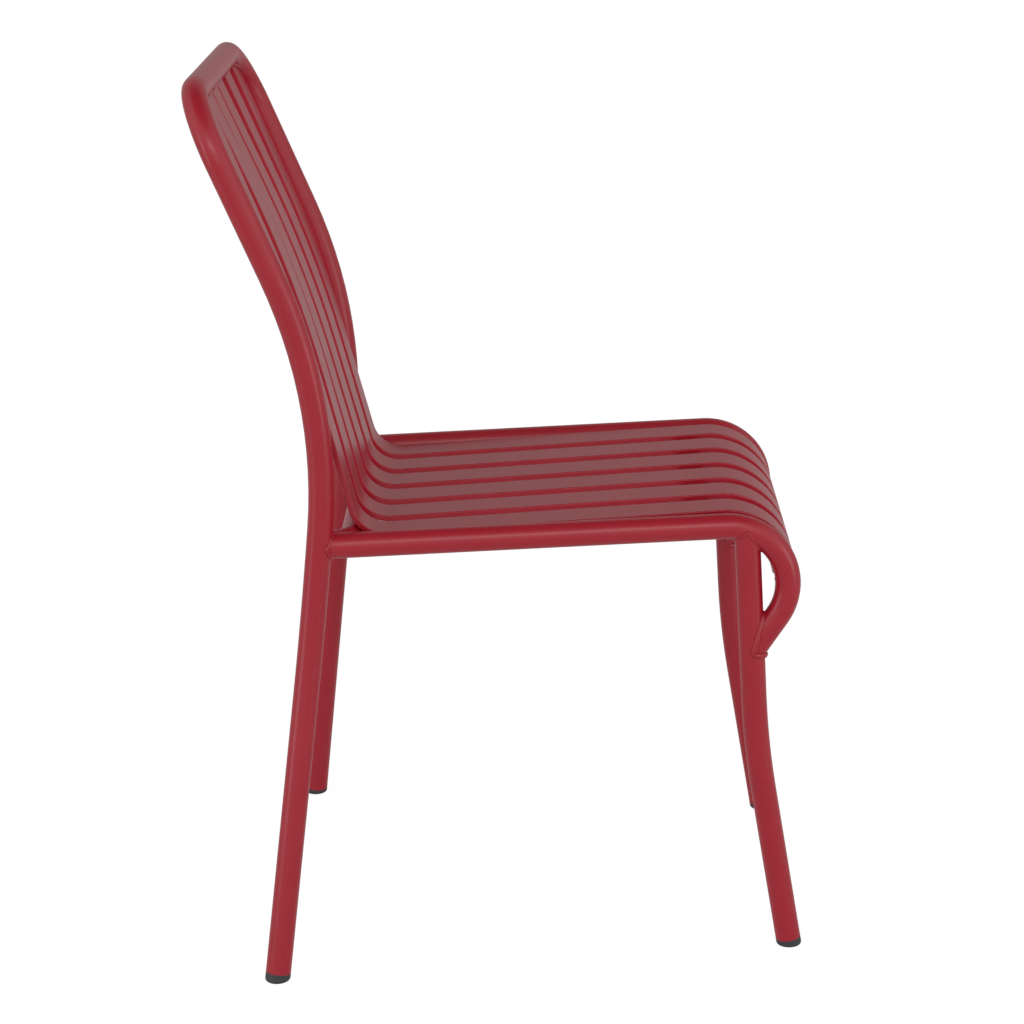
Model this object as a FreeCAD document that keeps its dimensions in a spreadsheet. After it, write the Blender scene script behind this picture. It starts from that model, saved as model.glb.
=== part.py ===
import FreeCAD, Part
import Sketcher
import math
import os

# Stackable metal bistro chair, sizes in millimetres.
# Origin on the floor under the middle of the chair, +Z up, the seat opens towards -Y,
# +X is the left-hand side of a person sitting on it.

V = FreeCAD.Vector

# Driving sizes: name, value, meaning
SIZES = [
    ("tube_radius", 12.5, "outer radius of every frame tube"),
    ("tube_wall", 2.0, "wall of the frame tubes"),
    ("cope_gap", 0.05, "fit-up gap between a coped tube end and its neighbour"),
    ("rear_foot_y", 230.8, "rear feet behind the origin"),
    ("rear_spread", 68.0, "rear feet wider than the front feet, on each side"),
    ("rear_splay", 9.4, "outward splay of the rear leg going down, degrees"),
    ("rear_lean", 7.13, "forward lean of the rear leg going up, degrees"),
    ("rear_run", 291.8, "straight length of the rear leg"),
    ("waist_radius", 894.0, "radius of the bend between leg and upright"),
    ("upright_flare", 1.17, "outward flare of the upright going up, degrees"),
    ("upright_lean", 6.09, "forward lean of the upright where the leg's bend ends, degrees"),
    ("back_radius", 513.0, "radius of the backrest bend"),
    ("back_turn", 28.6, "turn of the backrest bend, degrees"),
    ("back_run", 115.9, "straight length of the upright above the bend"),
    ("corner_radius", 65.0, "radius of the two top corners"),
    ("front_foot_y", -282.0, "front feet in front of the origin"),
    ("front_tilt", 0.65, "outward tilt of the front leg plane going up, degrees"),
    ("front_lean", 9.06, "backward lean of the front leg going up, degrees"),
    ("front_run", 172.2, "straight length of the front leg below its bend"),
    ("shin_radius", 857.0, "radius of the front leg bend"),
    ("shin_turn", 6.56, "turn of the front leg bend, degrees"),
    ("loop_y", -218.5, "centre of the front loop bend"),
    ("loop_height", 384.3, "height of the centre of the front loop bend"),
    ("loop_radius", 59.0, "axis radius of the front loop bend"),
    ("loop_turn", 126.2, "turn of the front loop bend, degrees"),
    ("rail_slope", 2.03, "rise of the seat rails towards the front, degrees"),
    ("rail_gap", 6.5, "gap between the outermost slat and the seat rail"),
    ("elbow_radius", 28.0, "axis radius of the two cross tube bends"),
    ("elbow_turn", 55.0, "turn of the two cross tube bends, degrees"),
    ("slat_width", 41.0, "width of a slat"),
    ("slat_pitch", 59.0, "spacing of the slats"),
    ("slat_thickness", 6.0, "thickness of a slat"),
    ("slat_edge", 1.2, "rounding of the slat's long edges"),
    ("slat_rise", 7.8, "slat mid-plane above the rail axis where the front bend starts"),
    ("slat_slope", 3.1, "rise of the slats towards the front, degrees"),
    ("slat_end_run", 6.0, "straight front end of a slat"),
    ("slat_nose_turn", 118.0, "turn of the slats over the front, degrees"),
    ("slat_heel", 111.3, "start of the slats' bend behind the seat, behind the origin"),
    ("slat_heel_radius", 34.2, "mid-plane radius between seat and backrest"),
    ("slat_back_run", 120.0, "straight length of the lower backrest"),
    ("slat_back_radius", 1190.0, "radius of the backrest curve of the slats"),
    ("bar_width", 25.0, "width of the hidden front cross bar"),
    ("bar_depth", 11.0, "depth of the hidden front cross bar"),
    ("bar_wall", 1.5, "wall of the hidden front cross bar"),
    ("bar_setback", 22.0, "cross bar behind the start of the front bend"),
    ("plug_height", 8.0, "visible height of a foot plug on its axis"),
    ("plug_stem", 14.0, "length of a foot plug inside the tube"),
    ("plug_clearance", 0.1, "radial gap between plug stem and tube bore"),
    ("plug_rounding", 3.0, "rounding of the plug where it meets the floor"),
]

# Each slat as it was welded: distance in front of the top rail's axis, lean of its lower back
SLATS = [
    (3.4, 13.7),
    (-1.0, 13.6),
    (-3.0, 14.2),
    (-5.0, 14.4),
    (-3.0, 14.4),
    (-0.7, 14.3),
]

doc = FreeCAD.newDocument("bistro_chair")
sheet = doc.addObject("Spreadsheet::Sheet", "dims")
next_row = 1


def put(alias, value, meaning):
    """Write one value into the sheet and return it."""
    global next_row
    sheet.set("A%d" % next_row, "%.9f" % value)
    sheet.setAlias("A%d" % next_row, alias)
    sheet.set("B%d" % next_row, meaning)
    next_row += 1
    return value


size = {}
for alias, value, meaning in SIZES:
    size[alias] = put(alias, value, meaning)
for number, (ahead, lean) in enumerate(SLATS):
    put("slat_%d_ahead" % (number + 1), ahead, "this slat in front of the top rail's axis")
    put("slat_%d_lean" % (number + 1), lean, "lean of this slat's lower back, degrees")
doc.recompute()


# Plane geometry of a path of straight runs and tangent bends

def rad(degrees):
    return math.radians(degrees)


def direction(heading):
    """Unit vector at a heading in degrees, in the plane of a path."""
    return (math.cos(rad(heading)), math.sin(rad(heading)))


def step(point, heading, distance):
    """Point reached from a point by a straight run."""
    d = direction(heading)
    return (point[0] + distance * d[0], point[1] + distance * d[1])


def after_bend(point, heading, radius, turn):
    """Point reached from a point by a bend, a positive turn going anticlockwise."""
    side = 90.0 if turn > 0 else -90.0
    centre = step(point, heading + side, radius)
    return step(centre, heading + turn - side, radius)


def trace(start, heading, moves):
    """Points and headings at the ends of the moves of a path."""
    stations = [(start, heading)]
    for move in moves:
        point, heading = stations[-1]
        if move[0] == "run":
            stations.append((step(point, heading, move[1]), heading))
        else:
            end = after_bend(point, heading, move[1], move[2])
            stations.append((end, heading + move[2]))
    return stations


def distance_to_line(point, heading, target, target_heading):
    """Run length from a point along a heading until it meets a line."""
    d = direction(heading)
    n = direction(target_heading + 90.0)
    gap = (target[0] - point[0]) * n[0] + (target[1] - point[1]) * n[1]
    return gap / (d[0] * n[0] + d[1] * n[1])


def distance_to_circle(point, heading, centre, radius):
    """Run length from a point along a heading to where it leaves a circle."""
    d = direction(heading)
    along = (centre[0] - point[0]) * d[0] + (centre[1] - point[1]) * d[1]
    away = (centre[0] - point[0]) * d[1] - (centre[1] - point[1]) * d[0]
    return along + math.sqrt(radius ** 2 - away ** 2)


def bend_point(start, tangent, side, radius, turn):
    """Point in space along a bend that leaves a start point along a tangent."""
    along = tangent * (radius * math.sin(rad(turn)))
    return start + along + side * (radius * (1.0 - math.cos(rad(turn))))


def bend_side(tangent, towards):
    """Direction from a tangent to the centre of a bend that turns towards a vector."""
    return (towards - tangent * towards.dot(tangent)).normalize()


# Widths: the slats set the rails apart, and the rails the feet

outer_slat = (len(SLATS) - 1) / 2.0 * size["slat_pitch"] + size["slat_width"] / 2.0
rail_side = outer_slat + size["rail_gap"] + size["tube_radius"]
front_tilt = rad(size["front_tilt"])
rail_heading = 180.0 - size["rail_slope"]
loop_centre = (size["loop_y"], size["loop_height"])
loop_start = step(loop_centre, rail_heading - 90.0, size["loop_radius"])
front_foot_x = rail_side - loop_start[1] * math.sin(front_tilt)
rear_foot_x = front_foot_x + size["rear_spread"]

# Rear leg and upright: the leg splays outward going down, a long bend takes it up to the upright


def tilted(heading, inward_tilt):
    """Direction in space of a heading in a left-hand plane that leans inward going up."""
    d = direction(heading)
    return V(-d[1] * math.sin(rad(inward_tilt)), d[0], d[1] * math.cos(rad(inward_tilt)))


rear_foot = V(rear_foot_x, size["rear_foot_y"], 0)
leg_vector = tilted(90.0 + size["rear_lean"], size["rear_splay"])
leg_end = rear_foot + leg_vector * size["rear_run"]
upright_heading = 90.0 + size["upright_lean"]
upright_vector = tilted(upright_heading, -size["upright_flare"])
waist_turn = math.degrees(leg_vector.getAngle(upright_vector))
waist_side = bend_side(leg_vector, upright_vector)
upright_start = bend_point(leg_end, leg_vector, waist_side, size["waist_radius"], waist_turn)
upright_moves = [("bend", size["back_radius"], -size["back_turn"]), ("run", size["back_run"])]
upright_stations = trace((0.0, 0.0), upright_heading, upright_moves)
put("waist_turn", waist_turn, "derived: turn between rear leg and upright, degrees")


def upright_point(point):
    """Place in space of a point of the left-hand upright's plane."""
    flare = rad(size["upright_flare"])
    return upright_start + V(point[1] * math.sin(flare), point[0], point[1] * math.cos(flare))


def rear_axis_at(height):
    """Point of the axis of the rear leg, or of the bend above it, at a height."""
    if height <= leg_end.z:
        return rear_foot + leg_vector * (height / leg_vector.z)
    low, high = 0.0, waist_turn
    for _ in range(60):
        turn = (low + high) / 2.0
        point = bend_point(leg_end, leg_vector, waist_side, size["waist_radius"], turn)
        if point.z < height:
            low = turn
        else:
            high = turn
    return point


corner_start = upright_point(upright_stations[-1][0])
corner_tangent = tilted(upright_stations[-1][1], -size["upright_flare"])
inward = V(-1, 0, 0)
corner_turn = math.degrees(corner_tangent.getAngle(inward))
corner_side = bend_side(corner_tangent, inward)
top_lean = 90.0 - math.degrees(math.atan2(corner_tangent.z, corner_tangent.y))
put("corner_turn", corner_turn, "derived: turn of the top corners, degrees")
put("top_lean", top_lean, "derived: backward lean of the top bend plane, degrees")


def mirrored(point):
    """The same point on the other side of the chair."""
    return V(-point.x, point.y, point.z)


def arc_edge(start, middle, end):
    return Part.Arc(start, middle, end).toShape()


def line_edge(start, end):
    return Part.LineSegment(start, end).toShape()


def left_rear_edges(first_point):
    """Kind, start, middle and end of each edge of the left half, from the foot to the top rail."""
    waist_middle = bend_point(leg_end, leg_vector, waist_side, size["waist_radius"], waist_turn / 2.0)
    back_middle = upright_point(after_bend((0.0, 0.0), upright_heading, size["back_radius"],
                                           -size["back_turn"] / 2.0))
    back_end = upright_point(upright_stations[1][0])
    radius = size["corner_radius"]
    corner_middle = bend_point(corner_start, corner_tangent, corner_side, radius, corner_turn / 2.0)
    corner_end = bend_point(corner_start, corner_tangent, corner_side, radius, corner_turn)
    return [
        ("run", first_point, None, leg_end),
        ("bend", leg_end, waist_middle, upright_start),
        ("bend", upright_start, back_middle, back_end),
        ("run", back_end, None, corner_start),
        ("bend", corner_start, corner_middle, corner_end),
    ]


def rear_path(first_point):
    """Closed chain of edges from the left foot over the top to the right foot."""
    left = left_rear_edges(first_point)
    shapes = []
    for kind, start, middle, end in left:
        shapes.append(line_edge(start, end) if kind == "run" else arc_edge(start, middle, end))
    top_left = left[-1][3]
    shapes.append(line_edge(top_left, mirrored(top_left)))
    for kind, start, middle, end in reversed(left):
        if kind == "run":
            shapes.append(line_edge(mirrored(end), mirrored(start)))
        else:
            shapes.append(arc_edge(mirrored(end), mirrored(middle), mirrored(start)))
    return Part.Wire(shapes)


top_rail = left_rear_edges(rear_foot)[-1][3]

# Front leg, seat rail and loop, in one tilted plane: Y and the height along the plane

leg_heading = 90.0 - size["front_lean"]
leg_moves = [("run", size["front_run"]), ("bend", size["shin_radius"], size["shin_turn"])]
leg_stations = trace((size["front_foot_y"], 0.0), leg_heading, leg_moves)
leg_top, leg_top_heading = leg_stations[-1]
leg_upper_run = distance_to_line(leg_top, leg_top_heading, loop_start, rail_heading)
if step(leg_top, leg_top_heading, leg_upper_run)[0] < loop_start[0]:
    leg_upper_run = distance_to_circle(leg_top, leg_top_heading, loop_centre, size["loop_radius"])
leg_moves.append(("run", leg_upper_run))
put("leg_upper_run", leg_upper_run, "derived: front leg from its bend to the rail axis")

loop_end = after_bend(loop_start, rail_heading, size["loop_radius"], size["loop_turn"])
loop_end_heading = rail_heading + size["loop_turn"]
loop_tail = distance_to_line(loop_end, loop_end_heading, leg_top, leg_top_heading)
loop_joint = distance_to_line(leg_top, leg_top_heading, loop_end, loop_end_heading)
put("loop_tail", loop_tail, "derived: straight end of the loop up to the leg axis")
put("loop_joint", loop_joint, "derived: leg from its bend up to the joint of the loop")


def front_point(point):
    """Place in space of a point of the left-hand front plane."""
    x = front_foot_x + point[1] * math.sin(front_tilt)
    return V(x, point[0], point[1] * math.cos(front_tilt))


# Slats: mid-plane paths from the front end up over the seat and up the back

seat_heading = -size["slat_slope"]
seat_line = step(loop_start, rail_heading - 90.0, size["slat_rise"])
to_nose = distance_to_line(seat_line, seat_heading, loop_centre, seat_heading + 90.0)
nose_start = step(seat_line, seat_heading, to_nose)
slat_nose_radius = math.dist(loop_centre, nose_start)
slat_seat_run = (size["slat_heel"] - nose_start[0]) / math.cos(rad(seat_heading))
heel_start = step(nose_start, seat_heading, slat_seat_run)
slat_end_heading = seat_heading + size["slat_nose_turn"]
nose_bottom = after_bend(nose_start, seat_heading + 180.0, slat_nose_radius, size["slat_nose_turn"])
slat_end = step(nose_bottom, slat_end_heading + 180.0, size["slat_end_run"])
put("slat_nose_radius", slat_nose_radius, "derived: radius of the slats over the front")
put("slat_seat_run", slat_seat_run, "derived: straight length of the seat")


def slat_moves(ahead, lean):
    """Moves of a slat, with the upper back laid as a tangent to the top rail's place."""
    heel_turn = 90.0 - lean - seat_heading
    lower_back = trace(heel_start, seat_heading, [
        ("bend", size["slat_heel_radius"], heel_turn),
        ("run", size["slat_back_run"]),
    ])
    curve_start, curve_heading = lower_back[-1]
    curve_centre = step(curve_start, curve_heading - 90.0, size["slat_back_radius"])
    top = (top_rail.y - ahead * math.cos(rad(top_lean)), top_rail.z + ahead * math.sin(rad(top_lean)))
    away = math.dist(top, curve_centre)
    upper_run = math.sqrt(away ** 2 - size["slat_back_radius"] ** 2)
    top_angle = math.degrees(math.atan2(top[1] - curve_centre[1], top[0] - curve_centre[0]))
    upper_heading = top_angle + math.degrees(math.acos(size["slat_back_radius"] / away)) - 90.0
    return [
        ("run", size["slat_end_run"]),
        ("bend", slat_nose_radius, -size["slat_nose_turn"]),
        ("run", slat_seat_run),
        ("bend", size["slat_heel_radius"], heel_turn),
        ("run", size["slat_back_run"]),
        ("bend", size["slat_back_radius"], upper_heading - curve_heading),
        ("run", upper_run),
    ]


# Rear cross tube: on the line of the rail axis, touching the heels of the slats

heel_centre = step(heel_start, seat_heading + 90.0, size["slat_heel_radius"])
touch = size["slat_heel_radius"] + size["slat_thickness"] / 2.0 + size["tube_radius"]
to_rail = distance_to_line(heel_centre, rail_heading + 90.0, loop_start, rail_heading)
rail_foot = step(heel_centre, rail_heading + 90.0, to_rail)
cross_axis = step(rail_foot, rail_heading + 180.0, math.sqrt(touch ** 2 - to_rail ** 2))
cross_y = cross_axis[0]
cross_height = cross_axis[1] * math.cos(front_tilt)
upright_axis = rear_axis_at(cross_height)
upright_x = upright_axis.x
upright_y = upright_axis.y
elbow_turn = size["elbow_turn"]
elbow_depth = size["elbow_radius"] * (1.0 - math.cos(rad(elbow_turn)))
elbow_run = (upright_y - cross_y - elbow_depth) / math.sin(rad(elbow_turn))
elbow_width = size["elbow_radius"] * math.sin(rad(elbow_turn))
cross_half = upright_x - elbow_run * math.cos(rad(elbow_turn)) - elbow_width
cross_moves = [
    ("run", elbow_run),
    ("bend", size["elbow_radius"], -elbow_turn),
    ("run", 2.0 * cross_half),
    ("bend", size["elbow_radius"], -elbow_turn),
    ("run", elbow_run),
]
cross_heading = 180.0 + elbow_turn
put("cross_height", cross_height, "derived: height of the rear cross tube axis")
put("elbow_run", elbow_run, "derived: straight end of the cross tube")
put("cross_run", 2.0 * cross_half, "derived: straight middle of the cross tube")

# Seat rail: from the axis of the cross tube's elbow to the loop

rail_x = front_point(cross_axis).x
elbow_angle = math.asin(min(1.0, max(0.0, rail_x - cross_half) / size["elbow_radius"]))
if elbow_angle <= rad(elbow_turn):
    rail_start_y = cross_y + size["elbow_radius"] * (1.0 - math.cos(elbow_angle))
else:
    beyond = rail_x - cross_half - elbow_width
    rail_start_y = cross_y + elbow_depth + beyond * math.tan(rad(elbow_turn))
rail_run = (rail_start_y - loop_start[0]) / math.cos(rad(size["rail_slope"]))
rail_start = step(loop_start, rail_heading + 180.0, rail_run)
rail_moves = [
    ("run", rail_run),
    ("bend", size["loop_radius"], size["loop_turn"]),
    ("run", loop_tail),
]
put("rail_run", rail_run, "derived: straight length of the seat rail")
doc.recompute()


# Building blocks

def origin_plane(body, role):
    """One of the three origin planes of a body."""
    for feature in body.Origin.OriginFeatures:
        if feature.Role == role:
            return feature
    raise ValueError(role)


def attached_sketch(body, name, role, offset):
    """Empty sketch on an origin plane of its own body."""
    sketch = body.newObject("Sketcher::SketchObject", name)
    sketch.AttachmentSupport = [(origin_plane(body, role), "")]
    sketch.MapMode = "FlatFace"
    sketch.AttachmentOffset = offset
    return sketch


def bind(sketch, constraint, expression):
    """Add a driving constraint and tie it to the sheet."""
    index = sketch.addConstraint(constraint)
    sketch.setExpression("Constraints[%d]" % index, expression)


def draw_path(sketch, start, heading, moves, names):
    """Draw runs and tangent bends and tie lengths, radii and turns to the sheet."""
    stations = trace(start, heading, moves)
    previous = None
    for index, move in enumerate(moves):
        begin, begin_heading = stations[index]
        end = stations[index + 1][0]
        if move[0] == "run":
            segment = Part.LineSegment(V(begin[0], begin[1], 0), V(end[0], end[1], 0))
            item = sketch.addGeometry(segment, False)
            first, last = 1, 2
        else:
            side = 90.0 if move[2] > 0 else -90.0
            centre = step(begin, begin_heading + side, move[1])
            circle = Part.Circle(V(centre[0], centre[1], 0), V(0, 0, 1), move[1])
            angle_in = rad(begin_heading - side)
            angle_out = rad(begin_heading - side + move[2])
            low, high = min(angle_in, angle_out), max(angle_in, angle_out)
            item = sketch.addGeometry(Part.ArcOfCircle(circle, low, high), False)
            first, last = (1, 2) if move[2] > 0 else (2, 1)
        if previous is None:
            sketch.addConstraint(Sketcher.Constraint("DistanceX", -1, 1, item, first, start[0]))
            sketch.addConstraint(Sketcher.Constraint("DistanceY", -1, 1, item, first, start[1]))
            if move[0] == "run":
                lean = (heading + 180.0) % 360.0 - 180.0
                sketch.addConstraint(Sketcher.Constraint("Angle", item, rad(lean)))
        else:
            sketch.addConstraint(Sketcher.Constraint("Tangent", previous[0], previous[1], item, first))
        if move[0] == "run":
            bind(sketch, Sketcher.Constraint("Distance", item, move[1]), "dims." + names[index])
        else:
            radius_name, turn_name = names[index]
            bind(sketch, Sketcher.Constraint("Radius", item, move[1]), "dims." + radius_name)
            bind(sketch, Sketcher.Constraint("Angle", item, rad(abs(move[2]))), "dims." + turn_name)
        previous = (item, last)


def facing(point, tangent, across):
    """Placement at a point with the local Z along a tangent and X along 'across'."""
    return FreeCAD.Placement(point, FreeCAD.Rotation(across, tangent.cross(across), tangent, "ZXY"))


def ring_profile(body, name, place):
    """Cross-section of a round tube."""
    sketch = attached_sketch(body, name, "XY_Plane", place)
    outer = size["tube_radius"]
    inner = outer - size["tube_wall"]
    for radius, expression in ((outer, "dims.tube_radius"), (inner, "dims.tube_radius - dims.tube_wall")):
        item = sketch.addGeometry(Part.Circle(V(0, 0, 0), V(0, 0, 1), radius), False)
        sketch.addConstraint(Sketcher.Constraint("Coincident", item, 3, -1, 1))
        bind(sketch, Sketcher.Constraint("Radius", item, radius), expression)
    return sketch


def slat_profile(body, name, place):
    """Cross-section of a slat: a flat bar with slightly rounded edges."""
    sketch = attached_sketch(body, name, "XY_Plane", place)
    rounding = size["slat_edge"]
    wide = size["slat_width"] / 2.0 - rounding
    thick = size["slat_thickness"] / 2.0 - rounding
    corners = [(wide, thick), (-wide, thick), (-wide, -thick), (wide, -thick)]
    arcs = []
    sides = []
    for number, (x, y) in enumerate(corners):
        circle = Part.Circle(V(x, y, 0), V(0, 0, 1), rounding)
        start = rad(90.0 * number)
        arc = Part.ArcOfCircle(circle, start, start + rad(90.0))
        arcs.append(sketch.addGeometry(arc, False))
        outward = direction(90.0 * (number + 1))
        following = corners[(number + 1) % len(corners)]
        begin = V(x + rounding * outward[0], y + rounding * outward[1], 0)
        end = V(following[0] + rounding * outward[0], following[1] + rounding * outward[1], 0)
        sides.append(sketch.addGeometry(Part.LineSegment(begin, end), False))
    for number in range(len(corners)):
        follower = arcs[(number + 1) % len(corners)]
        sketch.addConstraint(Sketcher.Constraint("Tangent", arcs[number], 2, sides[number], 1))
        sketch.addConstraint(Sketcher.Constraint("Tangent", sides[number], 2, follower, 1))
    for number in (0, 2):
        sketch.addConstraint(Sketcher.Constraint("Horizontal", sides[number]))
        sketch.addConstraint(Sketcher.Constraint("Vertical", sides[number + 1]))
    for arc in arcs[1:]:
        sketch.addConstraint(Sketcher.Constraint("Equal", arcs[0], arc))
    sketch.addConstraint(Sketcher.Constraint("Symmetric", arcs[0], 3, arcs[2], 3, -1, 1))
    bind(sketch, Sketcher.Constraint("Radius", arcs[0], rounding), "dims.slat_edge")
    bind(sketch, Sketcher.Constraint("Distance", sides[0], 2.0 * wide),
         "dims.slat_width - 2 * dims.slat_edge")
    bind(sketch, Sketcher.Constraint("Distance", sides[1], 2.0 * thick),
         "dims.slat_thickness - 2 * dims.slat_edge")
    return sketch


def piped_body(name, role, offset, start, heading, moves, names, profile_maker, place):
    """Body made by sending a profile along a path of runs and bends."""
    body = doc.addObject("PartDesign::Body", name)
    path = attached_sketch(body, name + "_path", role, offset)
    draw_path(path, start, heading, moves, names)
    profile = profile_maker(body, name + "_profile", place)
    pipe = body.newObject("PartDesign::AdditivePipe", name + "_pipe")
    pipe.Profile = profile
    pipe.Spine = path
    body.Tip = pipe
    return body, path


def swept_rod(name, path, start, tangent, radius, radius_name, spare=0):
    """Solid round bar along a path, less its last spare edges, as thick as named."""
    circle = doc.addObject("Part::Circle", name + "_circle")
    circle.Radius = radius
    circle.setExpression("Radius", radius_name)
    circle.Placement = FreeCAD.Placement(start, FreeCAD.Rotation(V(0, 0, 1), tangent))
    rod = doc.addObject("Part::Sweep", name)
    rod.Sections = [circle]
    edges = ["Edge%d" % (number + 1) for number in range(len(path.Shape.Edges) - spare)]
    rod.Spine = (path, edges)
    rod.Solid = True
    rod.Frenet = False
    return rod


def cut(name, base, tool):
    """One shape less another."""
    feature = doc.addObject("Part::Cut", name)
    feature.Base = base
    feature.Tool = tool
    return feature


def mirror(name, source):
    """The same piece on the other side of the chair."""
    feature = doc.addObject("Part::Mirroring", name)
    feature.Source = source
    feature.Normal = V(1, 0, 0)
    return feature


outer_name = "dims.tube_radius"
bore_name = "dims.tube_radius - dims.tube_wall"
cope_name = "dims.tube_radius + dims.cope_gap"
outer_radius = size["tube_radius"]
bore_radius = outer_radius - size["tube_wall"]
cope_radius = outer_radius + size["cope_gap"]
nodes = {}

# The hoop: both rear legs, both uprights and the top rail in one bent tube

rear_tube_start = rear_foot + leg_vector * size["plug_height"]
hoop_path = doc.addObject("Part::Feature", "hoop_path")
hoop_path.Shape = rear_path(rear_tube_start)
hoop_outer = swept_rod("hoop_outer", hoop_path, rear_tube_start, leg_vector, outer_radius, outer_name)
hoop_bore = swept_rod("hoop_bore", hoop_path, rear_tube_start, leg_vector, bore_radius, bore_name)
hoop_cope = swept_rod("hoop_cope", hoop_path, rear_tube_start, leg_vector, cope_radius, cope_name)
nodes["hoop_tube"] = cut("hoop_tube", hoop_outer, hoop_bore)

# Front legs, straight out of the floor plugs up to the rail

front_offset = FreeCAD.Placement(V(0, 0, front_foot_x),
                                 FreeCAD.Rotation(V(1, 0, 0), size["front_tilt"]))
front_across = V(math.cos(front_tilt), 0, -math.sin(front_tilt))


def front_vector(heading):
    """Direction in space of a heading in the left-hand front plane."""
    d = direction(heading)
    return V(d[1] * math.sin(front_tilt), d[0], d[1] * math.cos(front_tilt))


leg_start = step(leg_stations[0][0], leg_heading, size["plug_height"])
put("leg_lower_run", size["front_run"] - size["plug_height"],
    "derived: straight front tube from its plug to the bend")
doc.recompute()
leg_tube_moves = [("run", size["front_run"] - size["plug_height"])] + leg_moves[1:]
leg_names = ["leg_lower_run", ("shin_radius", "shin_turn"), "leg_upper_run"]
leg_place = facing(front_point(leg_start), front_vector(leg_heading), front_across)
leg_body, leg_path = piped_body("leg_blank", "YZ_Plane", front_offset, leg_start, leg_heading,
                                leg_tube_moves, leg_names, ring_profile, leg_place)

# Seat rails with the loop in front

rail_names = ["rail_run", ("loop_radius", "loop_turn"), "loop_tail"]
rail_place = facing(front_point(rail_start), front_vector(rail_heading), front_across)
rail_body, rail_path = piped_body("rail_blank", "YZ_Plane", front_offset, rail_start, rail_heading,
                                  rail_moves, rail_names, ring_profile, rail_place)

# Rear cross tube with its two elbows

cross_offset = FreeCAD.Placement(V(0, 0, cross_height), FreeCAD.Rotation())
cross_start = (upright_x, upright_y)
cross_names = ["elbow_run", ("elbow_radius", "elbow_turn"), "cross_run",
               ("elbow_radius", "elbow_turn"), "elbow_run"]
cross_direction = V(direction(cross_heading)[0], direction(cross_heading)[1], 0)
cross_place = facing(V(upright_x, upright_y, cross_height), cross_direction, V(0, 0, 1))
cross_body, cross_path = piped_body("cross_blank", "XY_Plane", cross_offset, cross_start,
                                    cross_heading, cross_moves, cross_names, ring_profile, cross_place)
doc.recompute()

rail_cope = swept_rod("rail_cope", rail_path, front_point(rail_start), front_vector(rail_heading),
                      cope_radius, cope_name, spare=1)
leg_cope = doc.addObject("Part::Cylinder", "leg_cope")
leg_cope.Radius = cope_radius
leg_cope.setExpression("Radius", cope_name)
leg_cope.Height = loop_joint + 2.0 * cope_radius
leg_cope.setExpression("Height", "dims.loop_joint + 2 * (" + cope_name + ")")
leg_cope.Placement = FreeCAD.Placement(
    front_point(leg_top), FreeCAD.Rotation(V(0, 0, 1), front_vector(leg_top_heading)))
cross_cope = swept_rod("cross_cope", cross_path, V(upright_x, upright_y, cross_height),
                       cross_direction, cope_radius, cope_name)
rail_cope_right = mirror("rail_cope_right", rail_cope)

# The rail and its bend cope the leg and the cross bar, the leg copes the loop's end
leg_left = cut("front_leg_left", leg_body, rail_cope)
rail_behind = cut("rail_behind", rail_body, cross_cope)
rail_between = cut("rail_between", rail_behind, hoop_cope)
rail_left = cut("seat_rail_left", rail_between, leg_cope)
nodes["front_leg_left"] = leg_left
nodes["front_leg_right"] = mirror("front_leg_right", leg_left)
nodes["seat_rail_left"] = rail_left
nodes["seat_rail_right"] = mirror("seat_rail_right", rail_left)
nodes["rear_cross_tube"] = cut("rear_cross_tube", cross_body, hoop_cope)

# Front cross bar, a flat hollow bar hidden under the slats

bar_centre = step(nose_start, seat_heading, size["bar_setback"])
bar_drop = size["slat_thickness"] / 2.0 + size["bar_depth"] / 2.0
bar_centre = step(bar_centre, seat_heading - 90.0, bar_drop)
bar_body = doc.addObject("PartDesign::Body", "bar_blank")
bar_turn = FreeCAD.Rotation(V(0, 0, -1), size["slat_slope"])
bar_sketch = attached_sketch(bar_body, "bar_profile", "YZ_Plane",
                             FreeCAD.Placement(V(bar_centre[0], bar_centre[1], 0), bar_turn))
for inset, grow in ((0.0, ""), (size["bar_wall"], " - 2 * dims.bar_wall")):
    wide = size["bar_width"] / 2.0 - inset
    high = size["bar_depth"] / 2.0 - inset
    corners = [V(-wide, -high, 0), V(wide, -high, 0), V(wide, high, 0), V(-wide, high, 0)]
    sides = []
    for number in range(4):
        segment = Part.LineSegment(corners[number], corners[(number + 1) % 4])
        sides.append(bar_sketch.addGeometry(segment, False))
    for number in range(4):
        follower = sides[(number + 1) % 4]
        bar_sketch.addConstraint(Sketcher.Constraint("Coincident", sides[number], 2, follower, 1))
    for number in (0, 2):
        bar_sketch.addConstraint(Sketcher.Constraint("Horizontal", sides[number]))
        bar_sketch.addConstraint(Sketcher.Constraint("Vertical", sides[number + 1]))
    bar_sketch.addConstraint(Sketcher.Constraint("Symmetric", sides[0], 1, sides[2], 1, -1, 1))
    bind(bar_sketch, Sketcher.Constraint("Distance", sides[0], 2 * wide), "dims.bar_width" + grow)
    bind(bar_sketch, Sketcher.Constraint("Distance", sides[1], 2 * high), "dims.bar_depth" + grow)
bar_pad = bar_body.newObject("PartDesign::Pad", "bar_pad")
bar_pad.Profile = bar_sketch
bar_pad.SideType = "Symmetric"
bar_pad.Length = 2.0 * rail_x
put("bar_length", 2.0 * rail_x, "derived: cross bar between the rail axes")
bar_pad.setExpression("Length", "dims.bar_length")
bar_body.Tip = bar_pad
bar_half = cut("bar_half", bar_body, rail_cope)
nodes["front_cross_bar"] = cut("front_cross_bar", bar_half, rail_cope_right)

# Slats, with everything above the top tube's axis taken away before coping

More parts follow.
